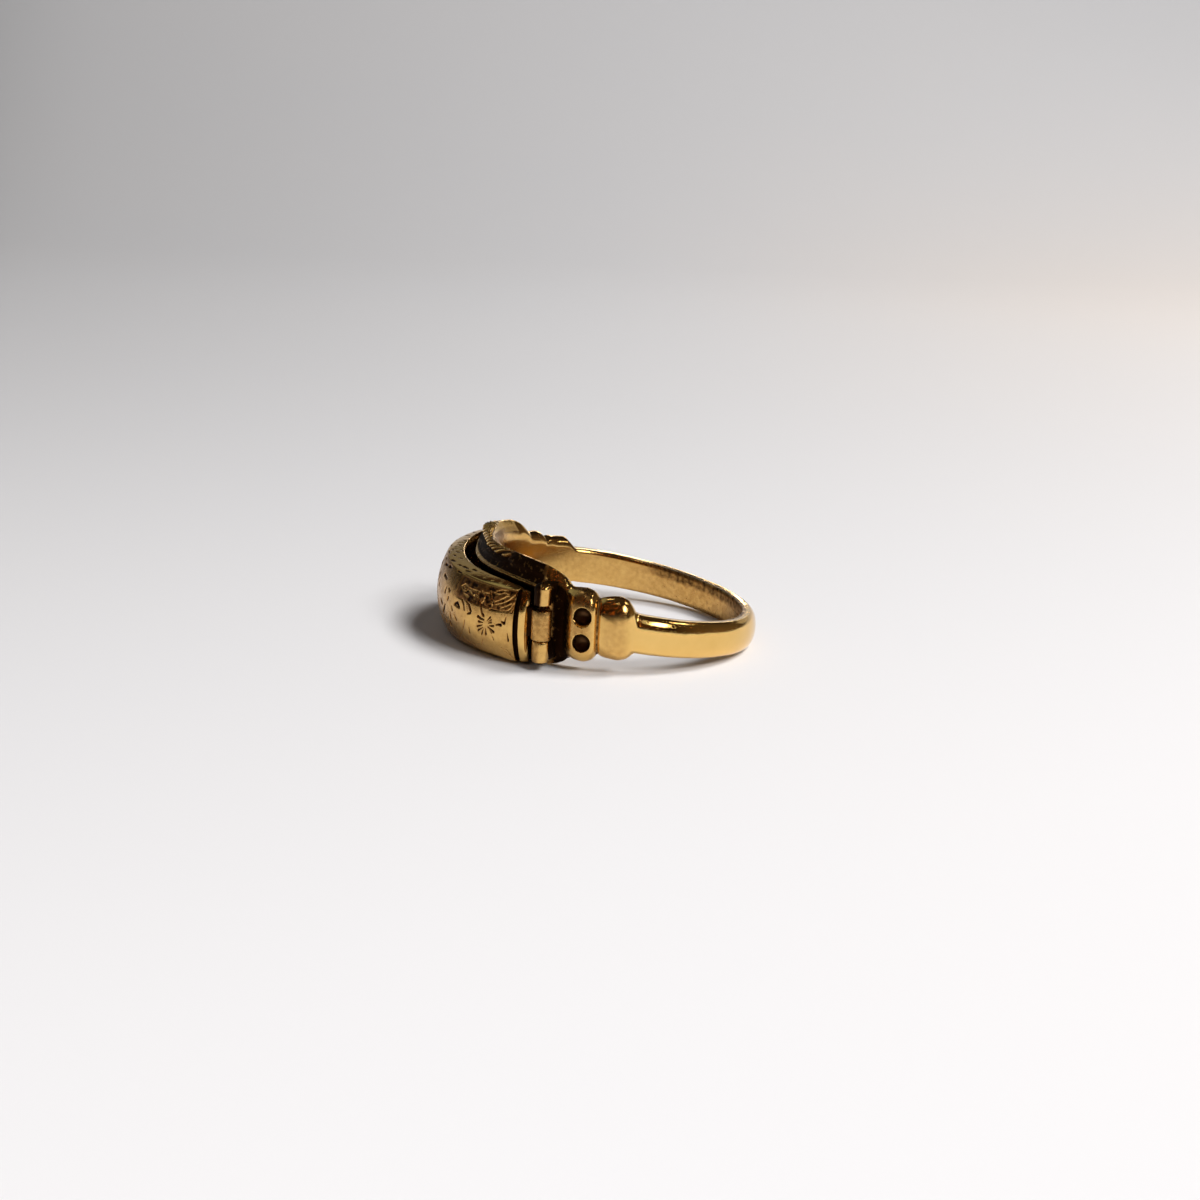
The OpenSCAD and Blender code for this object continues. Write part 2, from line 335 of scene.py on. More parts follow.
def build_ring(th, mat, seed=3):
    """The whole band as one closed sweep, with its rope-cut rim."""
    rz, a, rows = ring_sections(th)
    plain_rz = ring_sections(th, 0.0)[0]
    P = polar(np.asarray(th), rz)
    du = (np.roll(P, -1, 0) - np.roll(P, 1, 0)) * 0.5
    dv = (np.roll(P, -1, 1) - np.roll(P, 1, 1)) * 0.5
    N = np.cross(du, dv)
    N /= np.maximum(np.linalg.norm(N, axis=-1, keepdims=True), 1e-12)
    c = np.stack([9.2 * np.cos(np.radians(th)), 9.2 * np.sin(np.radians(th)), rows[:, 0]], 1)[:, None]
    k = NI + NC + NS // 2
    N *= np.sign((N[:, k][:, None] * (P[:, k][:, None] - c)).sum(-1, keepdims=True))
    nu, nv = P.shape[:2]
    r = np.hypot(P[..., 0], P[..., 1])
    zrel = P[..., 2] - rows[:, 0][:, None]
    one = np.ones_like(r)
    side = np.where(np.asarray(th) < 180, 1.0, -1.0)          # +1 on the far half
    ang = (180 - a) * side                                     # degrees from the head's middle
    s_mm = np.radians(-ang)[:, None] * 9.45 * one              # grows towards the hinge
    on = smooth(133.0, 137.5, a)[:, None] * one
    r0 = plain_rz[..., 0]
    d = (r0 - 9.30) / 0.34                                     # 0 at the crest, 1 at the foot of the slope
    # the crest's bright line runs nearer to the hole round the middle of the head
    line = -0.70 * (1 - smooth(-0.8, 1.6, s_mm)) * smooth(-5.2, -3.2, s_mm)
    outer = (r0 > 9.28) | ((r0 > 9.02) & (zrel > rows[:, 3][:, None] - 0.30))
    d = np.where(d < 1, (d - line) / (1 - line), d)
    # reeds that rise to the crest as they run towards the hinge
    start = s_mm - 1.25 * np.log(0.97 / np.clip(d, 0.11, 0.97))
    at = np.concatenate([np.arange(-9.90, -0.5, 0.62), [-0.07, 0.50, 1.12, 1.85, 2.98, 4.05, 5.3, 6.6]])
    phase = np.interp(start, at, np.arange(len(at)))
    cell = np.round(phase)
    jit = np.sin(cell * 12.9898 + 4.1) * 43758.5453
    jit = jit - np.floor(jit)
    fr = np.abs(phase - cell)
    wide = 0.14 + 0.07 * smooth(0.45, 0.85, d)
    reed = np.clip((wide + 0.09 - fr) / 0.11, 0, 1)
    reed = reed * (1 - smooth(0.80 + 0.12 * jit, 0.98 + 0.06 * jit, d))
    zone = smooth(0.0, 0.07, d) * (1 - smooth(1.02, 1.12, d))
    # the cuts lose themselves towards the hinge
    strength = 1 - smooth(3.6, 4.6, s_mm)
    # only the slope is cut; the wall of the compartment stays smooth
    strength = strength * (np.abs(plain_rz[..., 1] - rows[:, 0][:, None]) > rows[:, 3][:, None] - 1.42)
    depth = 0.19 * zone * (1 - reed) * on * outer * strength
    # dirt and painted shade: the cuts between the reeds are darkened
    cut_dirt_and_shade = np.clip(1.15 * zone * (1 - reed), 0, 1) * on * outer * strength
    # painted shade: the smooth slope towards the hinge, the foot of the slope, the ledge and the compartment wall under
    # it are darkened, standing in for shade and dark reflections
    plain = smooth(3.0, 4.4, s_mm) * smooth(0.06, 0.16, d) * (1 - smooth(1.9, 2.1, d)) * on * outer
    grime = 1.35 * smooth(0.90, 1.0, d) * (1 - smooth(1.75, 2.10, d)) * on * outer
    grime = np.maximum(grime, 0.42 * smooth(1.75, 2.10, d) * on * outer * smooth(-3.5, 2.5, s_mm))
    grime = np.maximum(grime, 1.25 * plain)
    grime = np.maximum(grime, 1.7 * (r0 > 9.55) * (plain_rz[..., 1] - rows[:, 0][:, None] < rows[:, 3][:, None] - 1.42) * on * (np.abs(zrel) < 2.1))
    # painted shade in the recess behind the knuckles and in the groove between the blocks
    for g, wid, k2 in ((112.3, 0.55, 0.9), (127.0, 4.2, 1.50)):
        gg = np.exp(-(((a - g) / wid) ** 4))[:, None] * one
        low_part = smooth(0.25, 0.95, rows[:, 3][:, None] - zrel) if g > 120 else 1.0
        grime = np.maximum(grime, gg * (r > 9.2) * k2 * low_part)
    # darker and browner: the drilled blocks; painted shade and dark reflection in the bore towards the back and under
    # the head
    grime = np.maximum(grime, 0.50 * np.exp(-(((a - 118.5) / 4.5) ** 4))[:, None] * (r > 9.2) * smooth(-2.3, -1.2, zrel))
    grime = np.maximum(grime, 0.26 * np.exp(-(((a - 106) / 5.5) ** 4))[:, None] * (r > 9.2))
    bore = r < 8.9
    phi = a * side                                             # degrees from the back, + on the far half
    back = smooth(-45, -6, phi)
    grime = np.maximum(grime, (0.22 + 0.22 * smooth(95, 20, phi) * back + 0.45 * smooth(35, 22, ang) * smooth(-30, -2, ang))[:, None] * bore)
    # painted reflection: a dark band along the bore's upper edge towards the back
    grime = np.maximum(grime, 0.85 * bore * smooth(0.05, 0.60, zrel) * (smooth(76, 48, phi) * back)[:, None])
    grime = np.maximum(grime, 0.24 * ((r > 9.2) * smooth(34, 8, a)[:, None]))
    P = P - N * depth[..., None]
    # hand-made unevenness, equal at both ends of the sweep
    t = np.radians(np.asarray(th))[:, None]
    wob = 0.010 * noise2(20 + 5.1 * np.cos(t) + zrel / 1.3, 20 + 5.1 * np.sin(t) + zrel * 0.3, seed)
    wob = wob + 0.0045 * noise2(30 + 17 * np.cos(t) + zrel / 0.5, 30 + 17 * np.sin(t) + zrel * 0.4, seed + 1)
    # the ledge and the slope are beaten uneven
    beat = smooth(1.85, 2.05, d) * (1 - smooth(2.6, 2.9, d)) + 0.7 * smooth(0.15, 0.4, d) * (1 - smooth(1.7, 2.0, d)) * smooth(1.5, 3.5, s_mm)
    wob = wob + 0.016 * beat * on * outer * noise2(200 + s_mm / 0.34, 40 + zrel / 0.30, seed + 5)
    wob = wob + 0.020 * beat * on * outer * noise2(200 + s_mm / 0.85, 40 + zrel / 0.6, seed + 6)
    P = P + N * wob[..., None] * smooth(8.7, 9.1, r)[..., None]
    ob = grid("band", P, close_u=True, attrs={"grime": grime, "cut_dirt_and_shade": cut_dirt_and_shade}, mat=mat)
    fix_normals(ob)
    return ob


# ---------------------------------------------------------------- engraving
def carve(X, Z, strokes):
    """Depth and darkness of graver cuts. X, Z: surface coordinates in mm, any shape.
    strokes: x0, z0, x1, z1, half width at each end, depth."""
    depth = np.zeros_like(X)
    dark = np.zeros_like(X)
    for x0, z0, x1, z1, w0, w1, dd in strokes:
        m = max(w0, w1) + 0.05
        sel = (X > min(x0, x1) - m) & (X < max(x0, x1) + m) & (Z > min(z0, z1) - m) & (Z < max(z0, z1) + m)
        if not sel.any():
            continue
        x, z = X[sel], Z[sel]
        vx, vz = x1 - x0, z1 - z0
        L2 = max(vx * vx + vz * vz, 1e-9)
        t = np.clip(((x - x0) * vx + (z - z0) * vz) / L2, 0, 1)
        dist = np.hypot(x - x0 - t * vx, z - z0 - t * vz)
        hw = w0 + (w1 - w0) * t
        v = np.clip(1 - dist / np.maximum(hw, 1e-4), 0, 1)
        rel = hw / max(w0, w1)
        depth[sel] = np.maximum(depth[sel], dd * v**0.8 * rel)
        dark[sel] = np.maximum(dark[sel], np.clip((hw + 0.012 - dist) / 0.035, 0, 1) * min(1.0, dd / 0.07))
    return depth, dark


def path(points, w0, w1, dd):
    """A cut through several points whose width runs from w0 to w1."""
    out = []
    n = len(points) - 1
    for i in range(n):
        a, b = w0 + (w1 - w0) * i / n, w0 + (w1 - w0) * (i + 1) / n
        out.append((*points[i], *points[i + 1], a, b, dd))
    return out


def circle(x, z, r, w, dd, n=12, a0=0, a1=360):
    a = np.radians(np.linspace(a0, a1, n + 1))
    return path([(x + r * math.cos(q), z + r * math.sin(q)) for q in a], w, w, dd)


DEG = math.radians(1) * 12.0      # one degree of the lid, mm

# graver cuts on the dome: half width at start and end (mm), then places as degree along the
# lid and height
DOME_CUTS = [
    (0.030, 0.085, 14.8, -0.73, 16.4, -0.69, 17.4, -0.60),
    (0.020, 0.055, 15.3, -0.94, 17.2, -0.94),
    (0.020, 0.050, 15.4, -1.11, 17.8, -1.32),
    (0.020, 0.055, 15.2, -1.27, 17.6, -1.61),
    (0.020, 0.060, 15.1, -1.36, 16.1, -1.81),
    (0.030, 0.080, 14.3, -1.32, 14.3, -1.73),
    (0.030, 0.090, 13.3, -1.15, 12.1, -1.28, 11.0, -1.41),
    (0.015, 0.035, 12.8, -1.28, 11.8, -1.53),
    (0.020, 0.055, 12.7, -1.03, 11.0, -0.99),
    (0.020, 0.050, 13.0, -0.86, 11.9, -0.78),
    (0.020, 0.060, 13.6, -0.73, 12.4, -0.45),
    (0.015, 0.040, 13.1, -0.78, 12.0, -0.61),
    (0.100, 0.050, 15.2, -0.44, 15.8, -0.31),
    (0.050, 0.035, 15.8, -0.31, 16.3, -0.06, 16.7, 0.19, 17.4, 0.36, 18.6, 0.57, 20.0, 0.70),
    (0.045, 0.020, 16.8, 0.23, 16.2, 0.48, 15.9, 0.76, 16.1, 1.00),
    (0.020, 0.100, 10.1, -0.87, 9.0, -0.80, 8.1, -0.80),
    (0.050, 0.090, 7.9, -0.55, 6.8, -0.64),
    (0.080, 0.015, 6.7, -0.60, 6.5, -0.39, 6.3, -0.18),
    (0.015, 0.075, 5.7, -1.28, 5.5, -1.54, 5.4, -1.79),
    (0.014, 0.014, 15.9, -2.14, 17.1, -2.62),
    (0.012, 0.035, 11.8, -1.74, 11.3, -1.99),
    (0.030, 0.095, 23.3, 0.09, 21.7, -0.08, 20.8, -0.42),
    (0.090, 0.040, 20.9, -0.55, 22.4, -0.68),
    (0.014, 0.014, 23.1, 0.05, 22.0, -0.59),
    (0.050, 0.035, 26.0, 0.14, 24.7, -0.12, 24.0, -0.50),
    (0.030, 0.090, 30.1, -0.40, 28.6, -0.28),
    (0.100, 0.090, 28.2, -0.23, 27.0, -0.49),
    (0.050, 0.020, 30.0, -0.45, 27.0, -0.54),
    (0.020, 0.055, 32.1, -0.66, 31.3, -0.92),
    (0.020, 0.060, 32.9, -1.14, 32.8, -1.53),
    (0.020, 0.060, 30.1, -1.14, 28.8, -1.48),
    (0.060, 0.020, 34.9, -0.26, 35.3, -0.48),
    (0.030, 0.060, 37.8, 0.31, 38.0, -0.03),
    (0.020, 0.050, 35.6, 0.39, 34.5, 0.21),
    (0.020, 0.060, 42.3, -0.73, 40.4, -0.96),
    (0.030, 0.085, 37.0, -0.83, 39.2, -1.49),
    (0.020, 0.055, 50.3, -0.70, 51.4, -1.14),
    (0.020, 0.050, 51.3, -1.28, 50.4, -1.46),
    (0.030, 0.050, 43.6, -2.00, 42.9, -2.13),
    (0.030, 0.050, 38.1, -1.96, 37.6, -2.09),
    (0.030, 0.075, 33.5, -1.79, 33.6, -2.08),
    (0.035, 0.012, 23.8, -1.19, 24.3, -1.57, 26.6, -2.27, 30.2, -2.88),
    (0.020, 0.060, 21.8, -1.61, 21.9, -2.02),
    (0.018, 0.012, 26.5, -2.44, 24.9, -2.67, 22.4, -2.78, 20.2, -2.82),
    (0.012, 0.020, 21.8, -2.67, 21.0, -2.89),
    (0.012, 0.016, 8.5, -2.42, 6.4, -2.49, 5.2, -2.78),
    (0.012, 0.016, 7.4, -2.60, 5.4, -2.86, 4.0, -3.14),
    (0.035, 0.035, 28.5, 0.86, 27.1, 0.69, 25.4, 0.68, 24.7, 0.88, 25.4, 1.04, 26.9, 1.09, 28.1, 0.97, 28.5, 0.86),
    (0.030, 0.020, 27.0, 0.89, 26.2, 0.81, 25.6, 0.88, 26.4, 0.97),
    (0.050, 0.030, 24.6, 0.84, 23.0, 0.79, 21.4, 0.62, 20.1, 0.41),
    (0.030, 0.050, 26.3, 0.52, 24.9, 0.47, 23.3, 0.43),
    (0.060, 0.030, 20.7, 0.66, 20.8, 0.33),
    (0.040, 0.020, 23.9, 0.96, 21.9, 0.95, 20.0, 0.98, 18.4, 0.93),
    (0.050, 0.030, 19.9, 0.94, 19.0, 0.77),
    (0.070, 0.100, 14.3, 1.19, 14.0, 0.99, 13.2, 0.71),
    (0.110, 0.050, 13.1, 0.71, 12.1, 0.50, 12.4, 0.13),
    (0.030, 0.060, 15.8, 0.92, 16.0, 0.60, 16.3, 0.35),
    (0.040, 0.030, 17.8, 1.05, 16.5, 0.96, 14.6, 1.03),
    (0.040, 0.020, 12.7, 1.14, 10.6, 1.10, 8.8, 1.26, 6.7, 1.22),
    (0.040, 0.060, 11.5, 0.58, 9.6, 0.78, 8.1, 0.98, 6.7, 1.14),
    (0.030, 0.050, 11.2, 0.38, 9.2, 0.54, 7.2, 0.74, 5.0, 1.06),
    (0.070, 0.050, 12.8, 0.05, 10.8, 0.05, 8.4, 0.12, 5.9, 0.20),
    (0.030, 0.050, 9.0, 0.25, 7.0, 0.45, 5.2, 0.66),
    (0.050, 0.080, 5.9, 0.20, 4.8, 0.45, 4.0, 0.74),
    (0.040, 0.040, 6.0, 0.94, 4.6, 1.23),
    (0.050, 0.080, 4.5, 0.20, 4.0, 0.57, 3.9, 0.98),
    (0.030, 0.030, 12.2, 1.25, 9.9, 1.41, 7.5, 1.45),
    (0.050, 0.020, 47.9, 1.37, 44.4, 1.46),
    (0.060, 0.020, 42.7, 1.49, 40.0, 1.51),
    (0.050, 0.020, 34.5, 1.59, 31.9, 1.58),
    (0.040, 0.020, 56.8, 0.38, 56.2, 0.15),
    (0.050, 0.020, 55.2, 1.23, 55.7, 1.02),
    (0.050, 0.020, 49.9, 0.68, 48.8, 0.45),
    (0.050, 0.020, 43.2, 0.89, 39.4, 0.79),
]
# the same on the flat rim: degree along the lid and share of the rim's width
RIM_CUTS = [
    (0.050, 0.020, 56.8, 0.97, 52.9, 0.88),
    (0.050, 0.020, 63.8, 0.95, 61.9, 0.86),
    (0.050, 0.020, 77.1, 0.62, 74.9, 0.25),
    (0.050, 0.020, 84.5, 0.94, 80.0, 0.19),
    (0.050, 0.030, 71.5, 1.00, 69.2, 0.81),
    (0.050, 0.020, 57.7, 0.75, 56.4, 0.62),
    (0.050, 0.020, 53.1, 0.44, 51.4, 0.25),
    (0.040, 0.020, 54.5, 0.12, 52.6, 0.00),
    (0.080, 0.040, 45.6, 0.88, 42.9, 0.75),
    (0.070, 0.030, 35.4, 0.56, 32.0, 0.50),
    (0.070, 0.020, 31.0, 0.69, 28.2, 0.62),
    (0.060, 0.020, 30.0, 0.31, 27.3, 0.31),
    (0.050, 0.020, 38.7, 0.69, 36.4, 0.62),
    (0.050, 0.020, 50.0, 0.62, 48.2, 0.56),
    (0.050, 0.020, 45.2, 0.38, 43.7, 0.25),
    (0.050, 0.020, 68.3, 0.25, 66.8, 0.06),
    (0.050, 0.020, 61.9, 0.38, 60.2, 0.19),
]


def lid_strokes():
    s = []
    for w0, w1, *q in DOME_CUTS:
        f = 1 + 1.3 * float(smooth(20, 46, min(q[0::2])))
        w0, w1 = (w0 * 0.80 + 0.012) * f, (w1 * 0.90 + 0.014) * f
        pts = [(q[i] * DEG, q[i + 1]) for i in range(0, len(q), 2)]
        band = min(z for _, z in pts) > 0.0
        dd = 0.13 if band else (0.12 if max(w0, w1) > 0.045 else 0.06)
        s += path(pts, w0, w1, dd)
        if max(q[0::2]) < 39.5:
            s += path([(84.8 * DEG - x, z) for x, z in pts], w0, w1, dd)
    return s


def rim_strokes():
    s = []
    for w0, w1, *q in RIM_CUTS:
        s += path([(q[i] * DEG, q[i + 1] * 1.12) for i in range(0, len(q), 2)], w0 * 1.2 + 0.03, w1 * 1.2 + 0.02, 0.10)
    # the last leaves towards the hinge are finer
    for u in (9.5, 13.0, 16.8, 21.0, 24.4):
        s += path([(u * DEG, 0.70), ((u - 1.6) * DEG, 0.52)], 0.032, 0.012, 0.05)
        s += path([((u + 0.6) * DEG, 0.34), ((u - 0.9) * DEG, 0.26)], 0.026, 0.010, 0.05)
    return s


NLB, NLD, NLI = 24, 116, 30


def lid_surface(u):
    rows = pchip(LID, u)
    out = []
    for ang, (zm, zr, rb, zb, ro) in zip(u, rows):
        t = np.linspace(0, 1, NLB + 1)[1:]
        bow = 0.05 * np.sin(np.pi * t)
        top = np.stack([RIM_R + (rb - RIM_R) * t + bow * 0.7, zr + (zb - zr) * t + bow * 0.7], 1)
        top = np.vstack([[RIM_R, zr], top])
        y = np.linspace(1, -1, 400)
        dm = np.stack([rb + (ro - rb) * (1 - np.abs(y) ** 2.15), zb * y], 1)
        dm = arc_resample(dm, NLD + 1)[1:]
        bot = top[::-1].copy()
        bot[:, 1] *= -1
        h = float(smooth(6.0, 7.2, ang) * (1 - smooth(81.6, 82.8, ang)))
        zi = zr - 0.36
        inn = np.array([[RIM_R, -zr + 0.03], [RIM_R, -zi], [RIM_R + 0.16 * h, -zi + 0.06], [RIM_R + 0.30 * h, -zi + 0.30]])
        y = np.linspace(-1, 1, NLI - 8)
        rin = RIM_R + (max(ro - 0.48 - RIM_R, 0.3) * (1 - np.abs(y) ** 2.4) + 0.30) * h
        arc = np.stack([np.minimum(rin, ro - 0.42), (zi - 0.30) * y], 1)
        inn2 = inn[::-1].copy()
        inn2[:, 1] *= -1
        sec = np.vstack([top, dm, bot[1:], inn, arc, inn2])
        sec[:, 1] += zm
        out.append(sec)
    return np.array(out), rows


def turn_lid(P, deg=AJAR):
    c, s = math.cos(math.radians(deg)), math.sin(math.radians(deg))
    x, y = P[..., 0] - HX, P[..., 1] - HY
    return np.stack([HX + c * x - s * y, HY + s * x + c * y, P[..., 2]], -1)


def build_lid(mat):
    fine = np.concatenate([np.linspace(0, 5, 46), np.linspace(5, 86.6, 392)[1:]])
    u = fine
    sec, rows = lid_surface(u)
    th = -137.6 - u
    P = polar(th, sec)
    N = normals_of(P)
    nv = P.shape[1]
    # outward: away from the lid's own middle line
    c = np.stack([10.2 * np.cos(np.radians(th)), 10.2 * np.sin(np.radians(th)), rows[:, 0]], 1)[:, None]
    k = NLB + 1 + NLD // 2
    sign = np.sign((N[:, k][:, None] * (P[:, k][:, None] - c)).sum(-1, keepdims=True))
    N = N * sign
    X = (u * DEG)[:, None] * np.ones((1, nv))
    Z = P[..., 2]
    zrel = Z - rows[:, 0][:, None]
    idx = np.arange(nv)[None, :] * np.ones((len(u), 1))
    one_like = np.ones_like(X)
    on_dome = (idx >= NLB + 1) & (idx < NLB + 1 + NLD)
    on_bevel_t = idx <= NLB
    on_bevel_b = (idx >= NLB + 1 + NLD) & (idx < 2 * (NLB + 1) + NLD)
    depth, dark = carve(X, Z, lid_strokes())
    band = smooth(0.0, 0.12, Z - 0.05) * smooth(3.9, 4.6, u)[:, None] * (1 - smooth(28, 33, u))[:, None]
    # chiselled ground between the scrolls
    rough = np.abs(noise2(X / 0.16 + 3, Z / 0.15 + 7, 31)) * 0.026 + np.abs(noise2(X / 0.34 + 13, Z / 0.26 + 17, 32)) * 0.040
    ground = band * (1 - smooth(1.45, 1.60, Z))
    depth = np.maximum(depth, rough * ground)
    # painted reflection: in the scroll band the ground between the strokes is painted near-black, standing in for the
    # dark room it reflects, while the strokes are left light
    inv = np.clip(0.86 - 0.80 * dark + 0.6 * (rough / 0.05 - 0.5), 0, 1)
    dark = dark * (1 - ground) + inv * ground
    live = smooth(3.9, 4.4, u)[:, None] * (1 - smooth(85.4, 86.2, u))[:, None] * on_dome
    depth, dark = depth * live, dark * live
    bt0 = np.where(on_bevel_t, idx / NLB, np.where(on_bevel_b, (2 * NLB + 1 + NLD - idx) / NLB, 0))
    dr, kr = carve(X, bt0 * 1.12, rim_strokes())
    flat_rim = (on_bevel_t | on_bevel_b) * smooth(0.03, 0.10, bt0) * (1 - smooth(0.93, 0.99, bt0))
    depth, dark = depth + dr * flat_rim, dark + kr * flat_rim
    # line between dome and rim, and the groove beside the end strip
    for j in (NLB, NLB + 1 + NLD):
        g = np.clip(1 - np.abs(idx - j) / 1.4, 0, 1) * smooth(3.6, 4.2, u)[:, None] * (1 - 0.75 * smooth(26, 36, u))[:, None]
        depth = np.maximum(depth, 0.07 * g)
        dark = np.maximum(dark, 0.95 * g)
    face = on_dome | on_bevel_t | on_bevel_b
    g = np.clip(1 - np.abs(u - 3.22) / 0.72, 0, 1)[:, None] * face
    depth = np.maximum(depth, 0.26 * g**0.7)
    dark = np.maximum(dark, np.clip(g * 2.6, 0, 1))
    uneven = 0.010 * noise2(X / 1.6 + 5, zrel / 1.2 + 9, 21) + 0.005 * noise2(X / 0.5 + 15, zrel / 0.45 + 19, 22)
    P = P - N * (depth + 0)[..., None] + N * (uneven * face)[..., None]
    patina = 0.30 + 0.26 * smooth(14, 50, u)[:, None] * one_like + 0.12 * noise2(X / 1.1 + 3, Z / 0.9 + 5, 41)
    patina = np.where(u[:, None] < 3.3, 0.10, patina) * face * np.where(on_dome, 1.0, 0.25)
    grime = np.maximum(0.55 * (~face), patina)
    P = turn_lid(P)
    ob = grid("lid_shell", P, caps=True, attrs={"grime": grime * np.ones_like(X), "cut_dirt_and_shade": dark}, mat=mat)
    fix_normals(ob)
    return ob


# ---------------------------------------------------------------- hinge
def knuckle_profile(z0, z1, r, hole=None):
    b = 0.05
    if hole:                       # domed on top
        return [(0.001, z0), (r - b, z0), (r - b * 0.3, z0 + b * 0.3), (r, z0 + b), (r, (z0 + z1) / 2), (r, z1 - 0.34)] + [
            (r * math.cos(q), z1 - 0.34 + 0.34 * math.sin(q)) for q in np.radians([15, 30, 45, 60, 75])] + [(0.001, z1)]
    return [(0.001, z0), (r - b, z0), (r - b * 0.3, z0 + b * 0.3), (r, z0 + b), (r, (z0 * 2 + z1) / 3), (r, (z0 + 2 * z1) / 3), (r, z1 - b), (r - b * 0.3, z1 - b * 0.3), (r - b, z1), (0.001, z1)]


def soft_box(name, size, mat, radius=0.06, attrs=None):
    import bmesh
    bm = bmesh.new()
    bmesh.ops.create_cube(bm, size=1.0)
    for v in bm.verts:
        v.co = Vector((v.co.x * size[0] * MM, v.co.y * size[1] * MM, v.co.z * size[2] * MM))
    bmesh.ops.bevel(bm, geom=bm.edges[:], offset=radius * MM, segments=3, profile=0.5, affect="EDGES")
    me = bpy.data.meshes.new(name)
    bm.to_mesh(me)
    bm.free()
    for key, val in (attrs or {}).items():
        a = me.attributes.new(key, "FLOAT", "POINT")
        a.data.foreach_set("value", np.full(len(me.vertices), val, np.float32))
    me.polygons.foreach_set("use_smooth", [True] * len(me.polygons))
    me.materials.append(mat)
    ob = bpy.data.objects.new(name, me)
    bpy.context.scene.collection.objects.link(ob)
    return ob


def place(ob, ang, r, z, tang=0.0, extra=None):
    """Bakes a place round the ring into the vertices: radius along the object's x."""
    a = math.radians(ang)
    M = Matrix.Rotation(a, 4, "Z") @ Matrix.Translation(Vector((r * MM, tang * MM, z * MM)))
    if extra is not None:
        M = extra @ M
    ob.data.transform(M)
    return ob


# ---------------------------------------------------------------- materials
def node(nt, kind, **kw):
    n = nt.nodes.new(kind)
    for k, v in kw.items():
        setattr(n, k, v)
    return n


